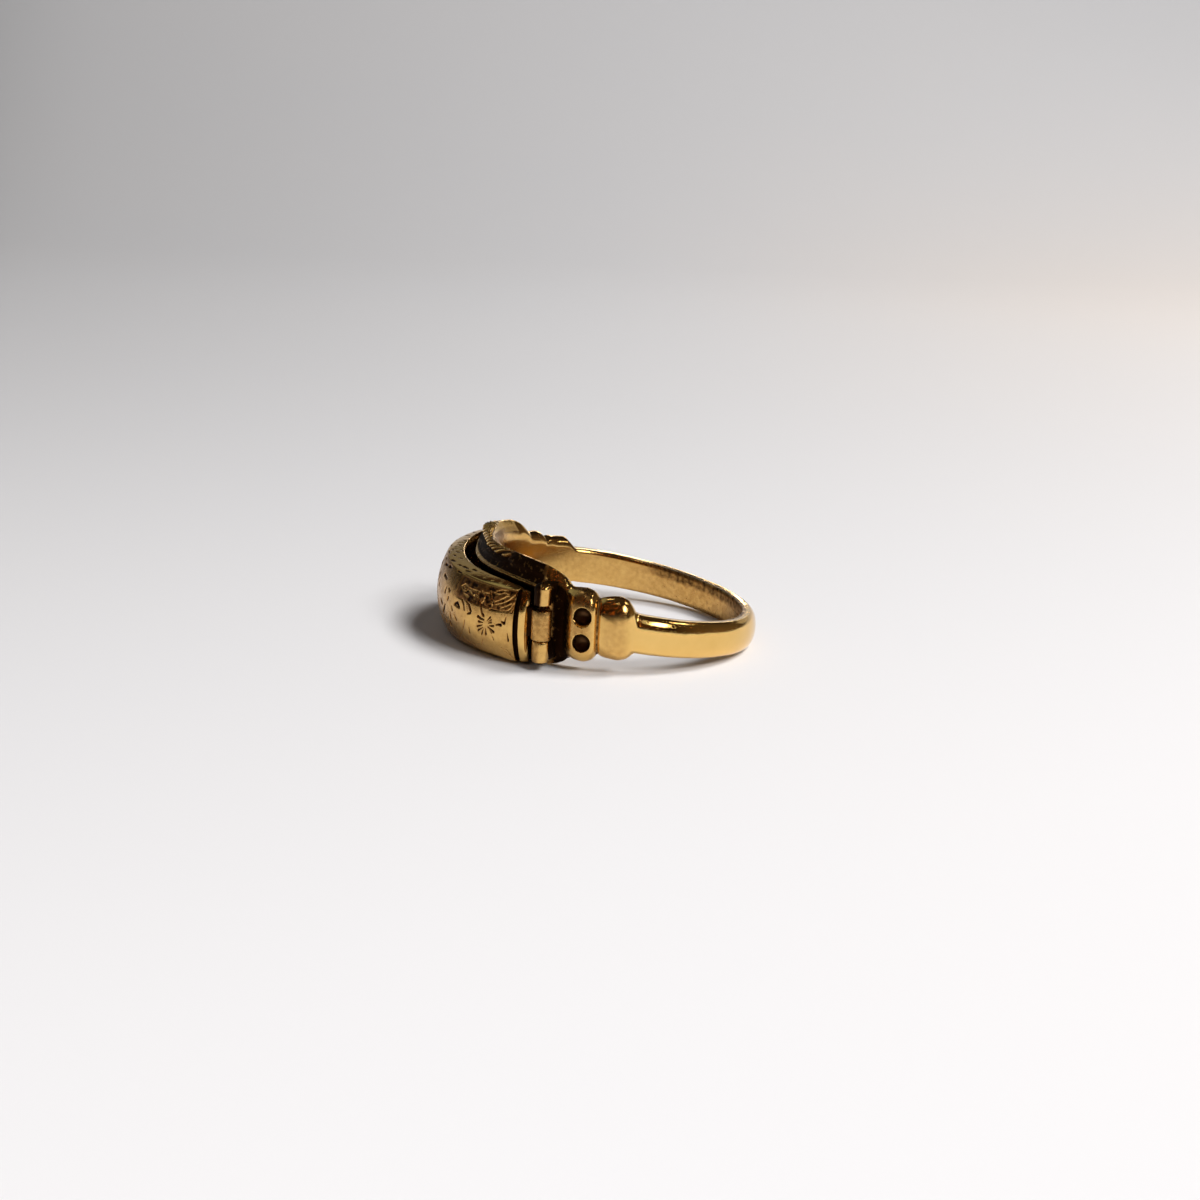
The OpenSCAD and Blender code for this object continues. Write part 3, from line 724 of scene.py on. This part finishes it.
def gold_material(name, base=(0.86, 0.565, 0.185), rough=0.045):
    m = bpy.data.materials.new(name)
    m.use_nodes = True
    nt = m.node_tree
    b = nt.nodes["Principled BSDF"]
    b.inputs["Metallic"].default_value = 1.0
    tc = node(nt, "ShaderNodeTexCoord")
    mp = node(nt, "ShaderNodeMapping")
    mp.inputs["Scale"].default_value = (1000, 1000, 1000)
    nt.links.new(tc.outputs["Object"], mp.inputs["Vector"])
    # soft patches of tone
    n1 = node(nt, "ShaderNodeTexNoise")
    n1.inputs["Scale"].default_value = 0.55
    n1.inputs["Detail"].default_value = 5
    n1.inputs["Roughness"].default_value = 0.6
    nt.links.new(mp.outputs[0], n1.inputs["Vector"])
    tone = node(nt, "ShaderNodeMix", data_type="RGBA")
    tone.inputs["A"].default_value = (base[0] * 0.90, base[1] * 0.84, base[2] * 0.72, 1)
    tone.inputs["B"].default_value = (min(base[0] * 1.06, 1), base[1] * 1.07, base[2] * 1.12, 1)
    nt.links.new(n1.outputs["Fac"], tone.inputs["Factor"])
    # dirt in the cuts, and painted shade in corners, recesses and on slopes that stand in for dark reflections
    at = node(nt, "ShaderNodeAttribute", attribute_name="grime")
    ac = node(nt, "ShaderNodeAttribute", attribute_name="cut_dirt_and_shade")
    n2 = node(nt, "ShaderNodeTexNoise")
    n2.inputs["Scale"].default_value = 3.2
    n2.inputs["Detail"].default_value = 6
    nt.links.new(mp.outputs[0], n2.inputs["Vector"])
    gm = node(nt, "ShaderNodeMath", operation="MULTIPLY")
    r2 = node(nt, "ShaderNodeMapRange")
    r2.inputs["From Min"].default_value = 0.3
    r2.inputs["From Max"].default_value = 0.7
    r2.inputs["To Min"].default_value = 0.55
    r2.inputs["To Max"].default_value = 1.15
    nt.links.new(n2.outputs["Fac"], r2.inputs["Value"])
    nt.links.new(at.outputs["Fac"], gm.inputs[0])
    nt.links.new(r2.outputs[0], gm.inputs[1])
    mx = node(nt, "ShaderNodeMath", operation="MAXIMUM", use_clamp=True)
    nt.links.new(gm.outputs[0], mx.inputs[0])
    nt.links.new(ac.outputs["Fac"], mx.inputs[1])
    mixd = node(nt, "ShaderNodeMix", data_type="RGBA")
    mixd.inputs["B"].default_value = (0.024, 0.009, 0.003, 1)
    nt.links.new(mx.outputs[0], mixd.inputs["Factor"])
    # where the dirt-and-shade mask is thin it reddens the metal, as patina and as painted shade, before the dark colour
    # hides it
    warm = node(nt, "ShaderNodeMix", data_type="RGBA", blend_type="MULTIPLY")
    warm.inputs["B"].default_value = (1.0, 0.87, 0.84, 1)
    wf = node(nt, "ShaderNodeMath", operation="MULTIPLY", use_clamp=True)
    wf.inputs[1].default_value = 2.2
    nt.links.new(gm.outputs[0], wf.inputs[0])
    nt.links.new(wf.outputs[0], warm.inputs["Factor"])
    nt.links.new(tone.outputs["Result"], warm.inputs["A"])
    # the cut mask, dirt and painted shade, is reddened as well
    red = node(nt, "ShaderNodeMix", data_type="RGBA", blend_type="MULTIPLY")
    red.inputs["B"].default_value = (1.0, 0.68, 0.50, 1)
    nt.links.new(ac.outputs["Fac"], red.inputs["Factor"])
    nt.links.new(warm.outputs["Result"], red.inputs["A"])
    nt.links.new(red.outputs["Result"], mixd.inputs["A"])
    nt.links.new(mixd.outputs["Result"], b.inputs["Base Color"])
    # polish
    n3 = node(nt, "ShaderNodeTexNoise")
    n3.inputs["Scale"].default_value = 1.6
    n3.inputs["Detail"].default_value = 7
    nt.links.new(mp.outputs[0], n3.inputs["Vector"])
    rr = node(nt, "ShaderNodeMapRange")
    rr.inputs["From Min"].default_value = 0.3
    rr.inputs["From Max"].default_value = 0.75
    rr.inputs["To Min"].default_value = rough * 0.7
    rr.inputs["To Max"].default_value = rough * 1.7
    nt.links.new(n3.outputs["Fac"], rr.inputs["Value"])
    ra = node(nt, "ShaderNodeMath", operation="MULTIPLY_ADD")
    ra.inputs[1].default_value = 0.55
    nt.links.new(mx.outputs[0], ra.inputs[0])
    nt.links.new(rr.outputs[0], ra.inputs[2])
    nt.links.new(ra.outputs[0], b.inputs["Roughness"])
    # hairline scratches and small pits
    sc = []
    for rot, scale in (((0.3, 0.2, 0.5), (1.2, 34, 9)), ((0.9, -0.4, 1.9), (40, 1.5, 12)), ((-0.5, 0.8, 1.1), (14, 2.0, 44))):
        m2 = node(nt, "ShaderNodeMapping")
        m2.inputs["Rotation"].default_value = rot
        m2.inputs["Scale"].default_value = scale
        nt.links.new(mp.outputs[0], m2.inputs["Vector"])
        q = node(nt, "ShaderNodeTexNoise")
        q.inputs["Scale"].default_value = 0.9
        q.inputs["Detail"].default_value = 2
        nt.links.new(m2.outputs[0], q.inputs["Vector"])
        k = node(nt, "ShaderNodeMapRange", clamp=True)
        k.inputs["From Min"].default_value = 0.60
        k.inputs["From Max"].default_value = 0.72
        nt.links.new(q.outputs["Fac"], k.inputs["Value"])
        sc.append(k)
    add = node(nt, "ShaderNodeMath", operation="ADD")
    nt.links.new(sc[0].outputs[0], add.inputs[0])
    nt.links.new(sc[1].outputs[0], add.inputs[1])
    add2 = node(nt, "ShaderNodeMath", operation="ADD")
    nt.links.new(add.outputs[0], add2.inputs[0])
    nt.links.new(sc[2].outputs[0], add2.inputs[1])
    n4 = node(nt, "ShaderNodeTexNoise")
    n4.inputs["Scale"].default_value = 9
    n4.inputs["Detail"].default_value = 4
    nt.links.new(mp.outputs[0], n4.inputs["Vector"])
    h = node(nt, "ShaderNodeMath", operation="MULTIPLY_ADD")
    h.inputs[1].default_value = -0.35
    nt.links.new(add2.outputs[0], h.inputs[0])
    nt.links.new(n4.outputs["Fac"], h.inputs[2])
    bu = node(nt, "ShaderNodeBump")
    bu.inputs["Strength"].default_value = 0.13
    bu.inputs["Distance"].default_value = 0.00002
    nt.links.new(h.outputs[0], bu.inputs["Height"])
    nt.links.new(bu.outputs[0], b.inputs["Normal"])
    return m


GOLD = gold_material("gold")
# painted shade: a dark, rougher gold for the deep walls of the drilled holes
HOLE_SHADE_GOLD = gold_material("gold_painted_hole_shade", base=(0.10, 0.048, 0.020), rough=0.34)

# ---------------------------------------------------------------- build: ring
TH = np.concatenate([np.linspace(-95, 95, 112), np.linspace(95, 131, 108)[1:], np.linspace(131, 229, 322)[1:], np.linspace(229, 265, 108)[1:-1]])
band = build_ring(TH, GOLD)


def drill(ob, a):
    """Two blind holes with a small countersink, at the angle a."""
    import bmesh
    for k in (-1, 1):
        z = -0.5 + k * 0.9
        bm = bmesh.new()
        n = 56
        rings = []
        for r, x in ((0.58, 0.95), (0.58, 1.58), (0.61, 1.67), (0.67, 1.77), (0.92, 2.08)):
            rings.append([bm.verts.new((x * MM, r * MM * math.cos(2 * math.pi * i / n), r * MM * math.sin(2 * math.pi * i / n))) for i in range(n)])
        for p, q in zip(rings, rings[1:]):
            for i in range(n):
                bm.faces.new((p[i], p[(i + 1) % n], q[(i + 1) % n], q[i]))
        bm.faces.new(rings[0][::-1])
        bm.faces.new(rings[-1])
        bmesh.ops.recalc_face_normals(bm, faces=bm.faces)
        me = bpy.data.meshes.new("drill")
        bm.to_mesh(me)
        bm.free()
        me.materials.append(GOLD)
        me.materials.append(HOLE_SHADE_GOLD)
        for p in me.polygons:
            p.use_smooth = True
            # the deep part of each hole's wall takes the dark painted-shade gold
            if all(me.vertices[v].co.x < 1.60 * MM for v in p.vertices):
                p.material_index = 1
        c = bpy.data.objects.new("drill", me)
        bpy.context.scene.collection.objects.link(c)
        me.transform(Matrix.Rotation(math.radians(a), 4, "Z") @ Matrix.Translation(Vector((R * MM, 0, z * MM))))
        md = ob.modifiers.new("drill", "BOOLEAN")
        md.operation = "DIFFERENCE"
        md.solver = "EXACT" if "MANIFOLD" not in [i.identifier for i in md.bl_rna.properties["solver"].enum_items] else "MANIFOLD"
        md.object = c
        bpy.context.view_layer.objects.active = ob
        with bpy.context.temp_override(object=ob, active_object=ob, selected_objects=[ob]):
            bpy.ops.object.modifier_apply(modifier=md.name)
        bpy.data.objects.remove(c)


band.data.materials.append(HOLE_SHADE_GOLD)
drill(band, -117.6)
drill(band, 119.5)

attr = {"grime": 0.15, "cut_dirt_and_shade": 0.0}


def with_attr(ob, **kw):
    for key, val in {**attr, **kw}.items():
        if key not in ob.data.attributes:
            a = ob.data.attributes.new(key, "FLOAT", "POINT")
            a.data.foreach_set("value", np.full(len(ob.data.vertices), val, np.float32))
    return ob


band_bits = [band]
for nm, z in (("knuckle_low", K_LOW), ("knuckle_top", K_TOP)):
    band_bits.append(with_attr(lathe(nm, knuckle_profile(z[0], z[1] + (0.10 if nm == "knuckle_top" else 0), 0.56, nm == "knuckle_top"), (HX, HY), mat=GOLD), grime=0.22))
    kn = band_bits[-1]
    co = np.array([v.co[:] for v in kn.data.vertices]) / MM
    # painted shade: each knuckle is darkened on the side turned towards -x, the left as the camera sees it, the top
    # knuckle most
    away = ((co[:, 0] - HX) * 0.97 - (co[:, 1] - HY) * 0.245) / 0.56
    kn.data.attributes["grime"].data.foreach_set("value", (0.22 + (1.1 if nm == "knuckle_top" else 0.35) * smooth(-0.05, -0.45, away)).astype(np.float32))
    # painted shade: the feet stand in the recess behind the knuckles and are darkened
    f = soft_box("foot_" + nm[8:], (HINGE_R - 9.3, 0.80, z[1] - z[0] - 0.02), GOLD, attrs={"grime": 1.5, "cut_dirt_and_shade": 0.0})
    band_bits.append(place(f, HINGE_A, (HINGE_R + 9.3) / 2, (z[0] + z[1]) / 2))
band_bits.append(with_attr(lathe("catch_post", knuckle_profile(K_LOW[0], K_TOP[1], 0.56), (HX, -HY), mat=GOLD)))
# painted shade: the post's foot is darkened the same way
f = soft_box("foot_post", (HINGE_R - 9.3, 0.80, K_TOP[1] - K_LOW[0] - 0.02), GOLD, attrs={"grime": 0.9, "cut_dirt_and_shade": 0.0})
band_bits.append(place(f, -HINGE_A, (HINGE_R + 9.3) / 2, (K_LOW[0] + K_TOP[1]) / 2))
# painted shade: the pin, seen only in the gaps between the knuckles, is darkened
pin = with_attr(lathe("pin", knuckle_profile(-3.05, 2.40, 0.24), (HX, HY), n=48, mat=GOLD), grime=1.2)

# ---------------------------------------------------------------- build: lid
lid = build_lid(GOLD)
lid_bits = [lid]
lid_bits.append(with_attr(lathe("lid_knuckle", knuckle_profile(K_LID[0], K_LID[1], 0.66), (HX, HY), mat=GOLD), grime=0.50))
turn = Matrix.Translation(Vector((HX * MM, HY * MM, 0))) @ Matrix.Rotation(math.radians(AJAR), 4, "Z") @ Matrix.Translation(Vector((-HX * MM, -HY * MM, 0)))
# painted shade: the tongue sits in a recess behind the strip and is darkened
f = soft_box("lid_tongue", (0.4, 1.6, K_LID[1] - K_LID[0] - 0.02), GOLD, attrs={"grime": 1.7, "cut_dirt_and_shade": 0.0})
lid_bits.append(place(f, HINGE_A, HINGE_R - 0.45 + 0.20, (K_LID[0] + K_LID[1]) / 2, tang=-0.8, extra=turn))

for o in band_bits:
    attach(o, "band")
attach(pin, "band")
for o in lid_bits:
    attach(o, "cover")
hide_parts("ring")
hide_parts("lid")
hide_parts("hinge_pin")

# ---------------------------------------------------------------- floor and light
def floor_material():
    m = bpy.data.materials.new("floor")
    m.use_nodes = True
    nt = m.node_tree
    b = nt.nodes["Principled BSDF"]
    b.inputs["Roughness"].default_value = 0.8
    b.inputs["Specular IOR Level"].default_value = 0.1
    tc = node(nt, "ShaderNodeTexCoord")
    n = node(nt, "ShaderNodeTexNoise")
    n.inputs["Scale"].default_value = 9
    n.inputs["Detail"].default_value = 3
    nt.links.new(tc.outputs["Object"], n.inputs["Vector"])
    mx = node(nt, "ShaderNodeMix", data_type="RGBA")
    mx.inputs["A"].default_value = (0.620, 0.624, 0.644, 1)
    mx.inputs["B"].default_value = (0.636, 0.634, 0.646, 1)
    nt.links.new(n.outputs["Fac"], mx.inputs["Factor"])
    # painted light: the cloth's colour is multiplied by the 'tone' attribute, a painted fall of light
    at = node(nt, "ShaderNodeAttribute", attribute_name="tone")
    mu = node(nt, "ShaderNodeMix", data_type="RGBA", blend_type="MULTIPLY")
    mu.inputs["Factor"].default_value = 1.0
    nt.links.new(mx.outputs["Result"], mu.inputs["A"])
    nt.links.new(at.outputs["Color"], mu.inputs["B"])
    nt.links.new(mu.outputs["Result"], b.inputs["Base Color"])
    return m


def toward(az, el, d):
    a, e = math.radians(az), math.radians(el)
    return (d * math.cos(a) * math.cos(e), d * math.sin(a) * math.cos(e), d * math.sin(e))


LIGHTS = [     # name, place, width, power, colour
    ("key", toward(-52, 44, 1.5), 0.55, 15.2, (1.0, 0.985, 0.97)),
    ("key_side", toward(-6, 59, 1.5), 0.50, 15.0, (1.0, 0.985, 0.97)),
    ("fill", (-0.5, -0.5, 0.9), 0.9, 1.0, (0.96, 0.98, 1.0)),
]


def lit(X, Y, Z, ny, nz, lights):
    """Light that falls on the cloth, without shadows."""
    e = 0
    for loc, pw in lights:
        L = np.array(loc)
        v = np.stack([L[0] - X * MM, L[1] - Y * MM, L[2] - Z * MM], -1)
        d = np.linalg.norm(v, axis=-1)
        cs = np.clip((v[..., 1] * ny + v[..., 2] * nz) / d, 0, 1)
        cl = np.clip((v @ L) / d / np.linalg.norm(L), 0, 1)
        e = e + pw * cs * cl / d**2
    return e


def floor_painted_light(x, y):
    """Painted light on the cloth: palest in front, greyer towards the back and the left, with a warmer tint further
    back on the right, standing in for the fall of the room's light.
    """
    D = np.maximum(y + 112, 0)
    t = np.clip((x + 29.7 - 0.2526 * D) / np.maximum(0.39 * D, 30), -1.6, 1.6)
    v = 0.92 + 0.52 * np.exp(-((D / 140) ** 2))
    v = v * np.exp(0.28 * (1 - np.exp(-((D / 200) ** 1.7))) * t)
    v = v * (1 - 0.50 * smooth(-48, -190, x))
    w = np.exp(-(((D - 400) / 190) ** 2)) * smooth(-0.2, 1, t)
    return np.stack([v * (1 + 0.03 * w), v * (1 - 0.03 * w), v * (1 - 0.09 * w)], -1)


def sweep(name, mat):
    """Floor that runs up into a low backdrop behind the ring."""
    y0, rad, top = 300.0, 450.0, 0.155 * 1000
    ys = list(np.linspace(-900, -160, 12)) + list(np.linspace(-140, 280, 60)) + [y0]
    prof = [(y, 0.0, 0.0) for y in ys]
    k = 1
    while True:
        a = math.radians(90 * k / 48)
        q = (y0 + rad * math.sin(a), rad * (1 - math.cos(a)), a)
        prof.append(q)
        k += 1
        if q[1] > top:
            break
    xs = np.concatenate([np.linspace(-1100, -260, 10), np.linspace(-230, 430, 90), np.linspace(470, 1100, 8)])
    prof = np.array(prof)
    X, Y = np.meshgrid(xs, prof[:, 0], indexing="ij")
    Z = np.repeat(prof[None, :, 1], len(xs), 0) + FLOOR
    P = np.stack([X, Y, Z], -1)
    ob = grid(name, P, close_v=False, mat=mat)
    A = np.repeat(prof[None, :, 2], len(xs), 0)
    # painted light: the fall of light from an older pair of lamps, divided by that of the lamps in LIGHTS, is
    # multiplied into the cloth's colour along with the painted falloff
    old = lit(X, Y, Z, -np.sin(A), np.cos(A), [((0.30, 0.12, 0.85), 7.2), ((-0.5, -0.5, 0.9), 5.4)])
    new = lit(X, Y, Z, -np.sin(A), np.cos(A), [(loc, pw) for _, loc, _, pw, _ in LIGHTS])
    c = floor_painted_light(X, Y + Z - FLOOR) * (1.00 * old / np.maximum(new, 0.05))[..., None]
    c = np.clip(c, 0, 1.5).reshape(-1, 3)
    at = ob.data.attributes.new("tone", "FLOAT_COLOR", "POINT")
    at.data.foreach_set("color", np.concatenate([c, np.ones((len(c), 1))], 1).astype(np.float32).ravel())
    return ob


FLOOR_MAT = floor_material()
floor = sweep("floor", FLOOR_MAT)


def area(name, loc, target, size, power, color=(1, 1, 1), glossy=False):
    d = bpy.data.lights.new(name, "AREA")
    d.shape = "RECTANGLE"
    d.size, d.size_y = size
    d.energy = power
    d.color = color
    o = bpy.data.objects.new(name, d)
    bpy.context.scene.collection.objects.link(o)
    o.location = loc
    v = Vector(target) - Vector(loc)
    o.rotation_mode = "QUATERNION"
    o.rotation_quaternion = v.to_track_quat("-Z", "Y")
    o.visible_glossy = glossy
    return o


for nm, loc, w, pw, col in LIGHTS:
    area(nm, loc, (0, 0, 0), (w, w), pw, col)


def glow(name, az, el, dist, size, color, strength, roll=0.0):
    """A window or lamp of the room: a card that faces the ring. az from +X towards +Y."""
    a, e = math.radians(az), math.radians(el)
    c = Vector((math.cos(a) * math.cos(e), math.sin(a) * math.cos(e), math.sin(e))) * dist
    m = bpy.data.materials.new(name)
    m.use_nodes = True
    nt = m.node_tree
    nt.nodes.clear()
    em = node(nt, "ShaderNodeEmission")
    em.inputs["Color"].default_value = (*color, 1)
    em.inputs["Strength"].default_value = strength
    out = node(nt, "ShaderNodeOutputMaterial")
    nt.links.new(em.outputs[0], out.inputs["Surface"])
    w, h = size[0] / 2, size[1] / 2
    me = bpy.data.meshes.new(name)
    me.from_pydata([(-w, -h, 0), (w, -h, 0), (w, h, 0), (-w, h, 0)], [], [(0, 1, 2, 3)])
    me.materials.append(m)
    ob = bpy.data.objects.new(name, me)
    bpy.context.scene.collection.objects.link(ob)
    ob.location = c
    ob.rotation_mode = "QUATERNION"
    ob.rotation_quaternion = (-c).to_track_quat("Z", "Y") @ Matrix.Rotation(math.radians(roll), 4, "Z").to_quaternion()
    ob.visible_diffuse = False
    ob.visible_camera = False
    ob.visible_shadow = False
    return ob


# windows and lamps of the dark room, seen only in the polish
glow("window_front", -57, 28, 1.2, (0.19, 0.42), (1.0, 0.99, 0.96), 11.0, roll=28)
glow("window_side", -12, 47, 1.2, (0.20, 0.10), (1.0, 0.98, 0.94), 9.0)
glow("window_high", -108, 56, 1.2, (0.06, 0.12), (1.0, 0.99, 0.96), 8.0)
glow("window_left", 140, 70, 1.2, (0.05, 0.22), (1.0, 1.0, 1.0), 8.0)
glow("window_back", 68, 17, 1.2, (0.36, 0.08), (1.0, 0.97, 0.90), 9.0)
glow("wall_left", 146, 42, 1.3, (1.15, 0.95), (0.80, 0.92, 0.88), 0.34)
glow("wall_back", 45, 14, 1.35, (0.70, 0.26), (1.0, 0.93, 0.82), 0.42)
for k, (az, el, sz, st) in enumerate([
    (-70, 36, 0.05, 7), (-92, 27, 0.04, 8), (-112, 34, 0.05, 7), (-118, 14, 0.04, 8), (-134, 28, 0.05, 7), (-146, 12, 0.05, 6),
    (-158, 38, 0.05, 6), (-172, 17, 0.05, 5), (-100, 60, 0.05, 6), (-125, 50, 0.05, 6), (-150, 58, 0.05, 6), (-80, 20, 0.03, 8),
]):
    glow("ember_%d" % k, az, el, 1.4, (sz, sz * 0.7), (1.0, 0.30, 0.07), st)
glow("wall_behind", 98, 25, 1.32, (0.60, 0.42), (0.88, 0.88, 0.76), 0.24)
for k, (az, el, sz, st) in enumerate([
    (-84, 9, 0.028, 5), (-104, 20, 0.026, 6), (-128, 12, 0.03, 5), (-150, 24, 0.03, 5), (-176, 28, 0.03, 5),
    (-96, 42, 0.03, 4), (-140, 40, 0.03, 4), (-188, 22, 0.035, 3), (-30, 24, 0.03, 3), (18, 46, 0.035, 4),
]):
    glow("lamp_%d" % k, az, el, 1.4, (sz, sz), (1.0, 0.46, 0.16), st)

world = bpy.data.worlds.new("room")
bpy.context.scene.world = world
world.use_nodes = True
wt = world.node_tree
bg = wt.nodes["Background"]
wc = node(wt, "ShaderNodeTexCoord")
sep = node(wt, "ShaderNodeSeparateXYZ")
wt.links.new(wc.outputs["Generated"], sep.inputs[0])
ramp = node(wt, "ShaderNodeValToRGB")
mr = node(wt, "ShaderNodeMapRange")
mr.inputs["From Min"].default_value = -1
mr.inputs["From Max"].default_value = 1
wt.links.new(sep.outputs["Z"], mr.inputs["Value"])
wt.links.new(mr.outputs[0], ramp.inputs["Fac"])
cr = ramp.color_ramp
while len(cr.elements) > 1:
    cr.elements.remove(cr.elements[-1])
for i, (p, c) in enumerate([
    (0.0, (0.55, 0.54, 0.53)), (0.492, (0.50, 0.49, 0.48)), (0.498, (0.010, 0.006, 0.004)), (0.70, (0.012, 0.007, 0.004)),
    (1.0, (0.035, 0.030, 0.026)),
]):
    e = cr.elements[0] if i == 0 else cr.elements.new(p)
    e.position = p
    e.color = (*c, 1)
wn = node(wt, "ShaderNodeTexNoise")
wn.inputs["Scale"].default_value = 3.0
wn.inputs["Detail"].default_value = 6
wn.inputs["Roughness"].default_value = 0.62
wt.links.new(wc.outputs["Generated"], wn.inputs["Vector"])
wr = node(wt, "ShaderNodeMapRange", clamp=True)
wr.inputs["From Min"].default_value = 0.50
wr.inputs["From Max"].default_value = 0.80
wt.links.new(wn.outputs["Fac"], wr.inputs["Value"])
wm = node(wt, "ShaderNodeMix", data_type="RGBA", blend_type="ADD")
wm.inputs["B"].default_value = (0.10, 0.040, 0.014, 1)
wt.links.new(wr.outputs[0], wm.inputs["Factor"])
wt.links.new(ramp.outputs[0], wm.inputs["A"])
# a lighter stretch of wall on the right
wd = node(wt, "ShaderNodeMapRange", clamp=True)
wd.inputs["From Min"].default_value = 0.55
wd.inputs["From Max"].default_value = 1.0
wt.links.new(sep.outputs["X"], wd.inputs["Value"])
wm2 = node(wt, "ShaderNodeMix", data_type="RGBA", blend_type="ADD")
wm2.inputs["B"].default_value = (0.10, 0.075, 0.05, 1)
wt.links.new(wd.outputs[0], wm2.inputs["Factor"])
wt.links.new(wm.outputs["Result"], wm2.inputs["A"])
wt.links.new(wm2.outputs["Result"], bg.inputs["Color"])
bg.inputs["Strength"].default_value = 1.0

# ---------------------------------------------------------------- camera
E, YAW, ROLL = 0.2700436, 0.2473449, 0.0572974
S, CX, CY, DIST = 14.243077, 619.96834, 585.03992, 120.0
fw = Vector((0, math.cos(E), -math.sin(E)))
up = Vector((0, math.sin(E), math.cos(E)))
rt = Vector((1, 0, 0))
u2 = up * math.cos(ROLL) - rt * math.sin(ROLL)
r2 = rt * math.cos(ROLL) + up * math.sin(ROLL)
Rz = Matrix(((math.cos(YAW), -math.sin(YAW), 0), (math.sin(YAW), math.cos(YAW), 0), (0, 0, 1))).transposed()
fw, u2, r2 = Rz @ fw, Rz @ u2, Rz @ r2
pos = -(r2 * ((CX - 600) / S) + u2 * ((600 - CY) / S) + fw * DIST)
cd = bpy.data.cameras.new("camera")
cd.sensor_width = 36
cd.lens = S * DIST / 1200 * 36
cd.clip_start, cd.clip_end = 0.005, 10
cam = bpy.data.objects.new("camera", cd)
bpy.context.scene.collection.objects.link(cam)
Mc = Matrix((r2, u2, -fw)).transposed().to_4x4()
Mc.translation = pos * MM
cam.matrix_world = Mc
bpy.context.scene.camera = cam
bpy.context.scene.view_settings.view_transform = "Standard"
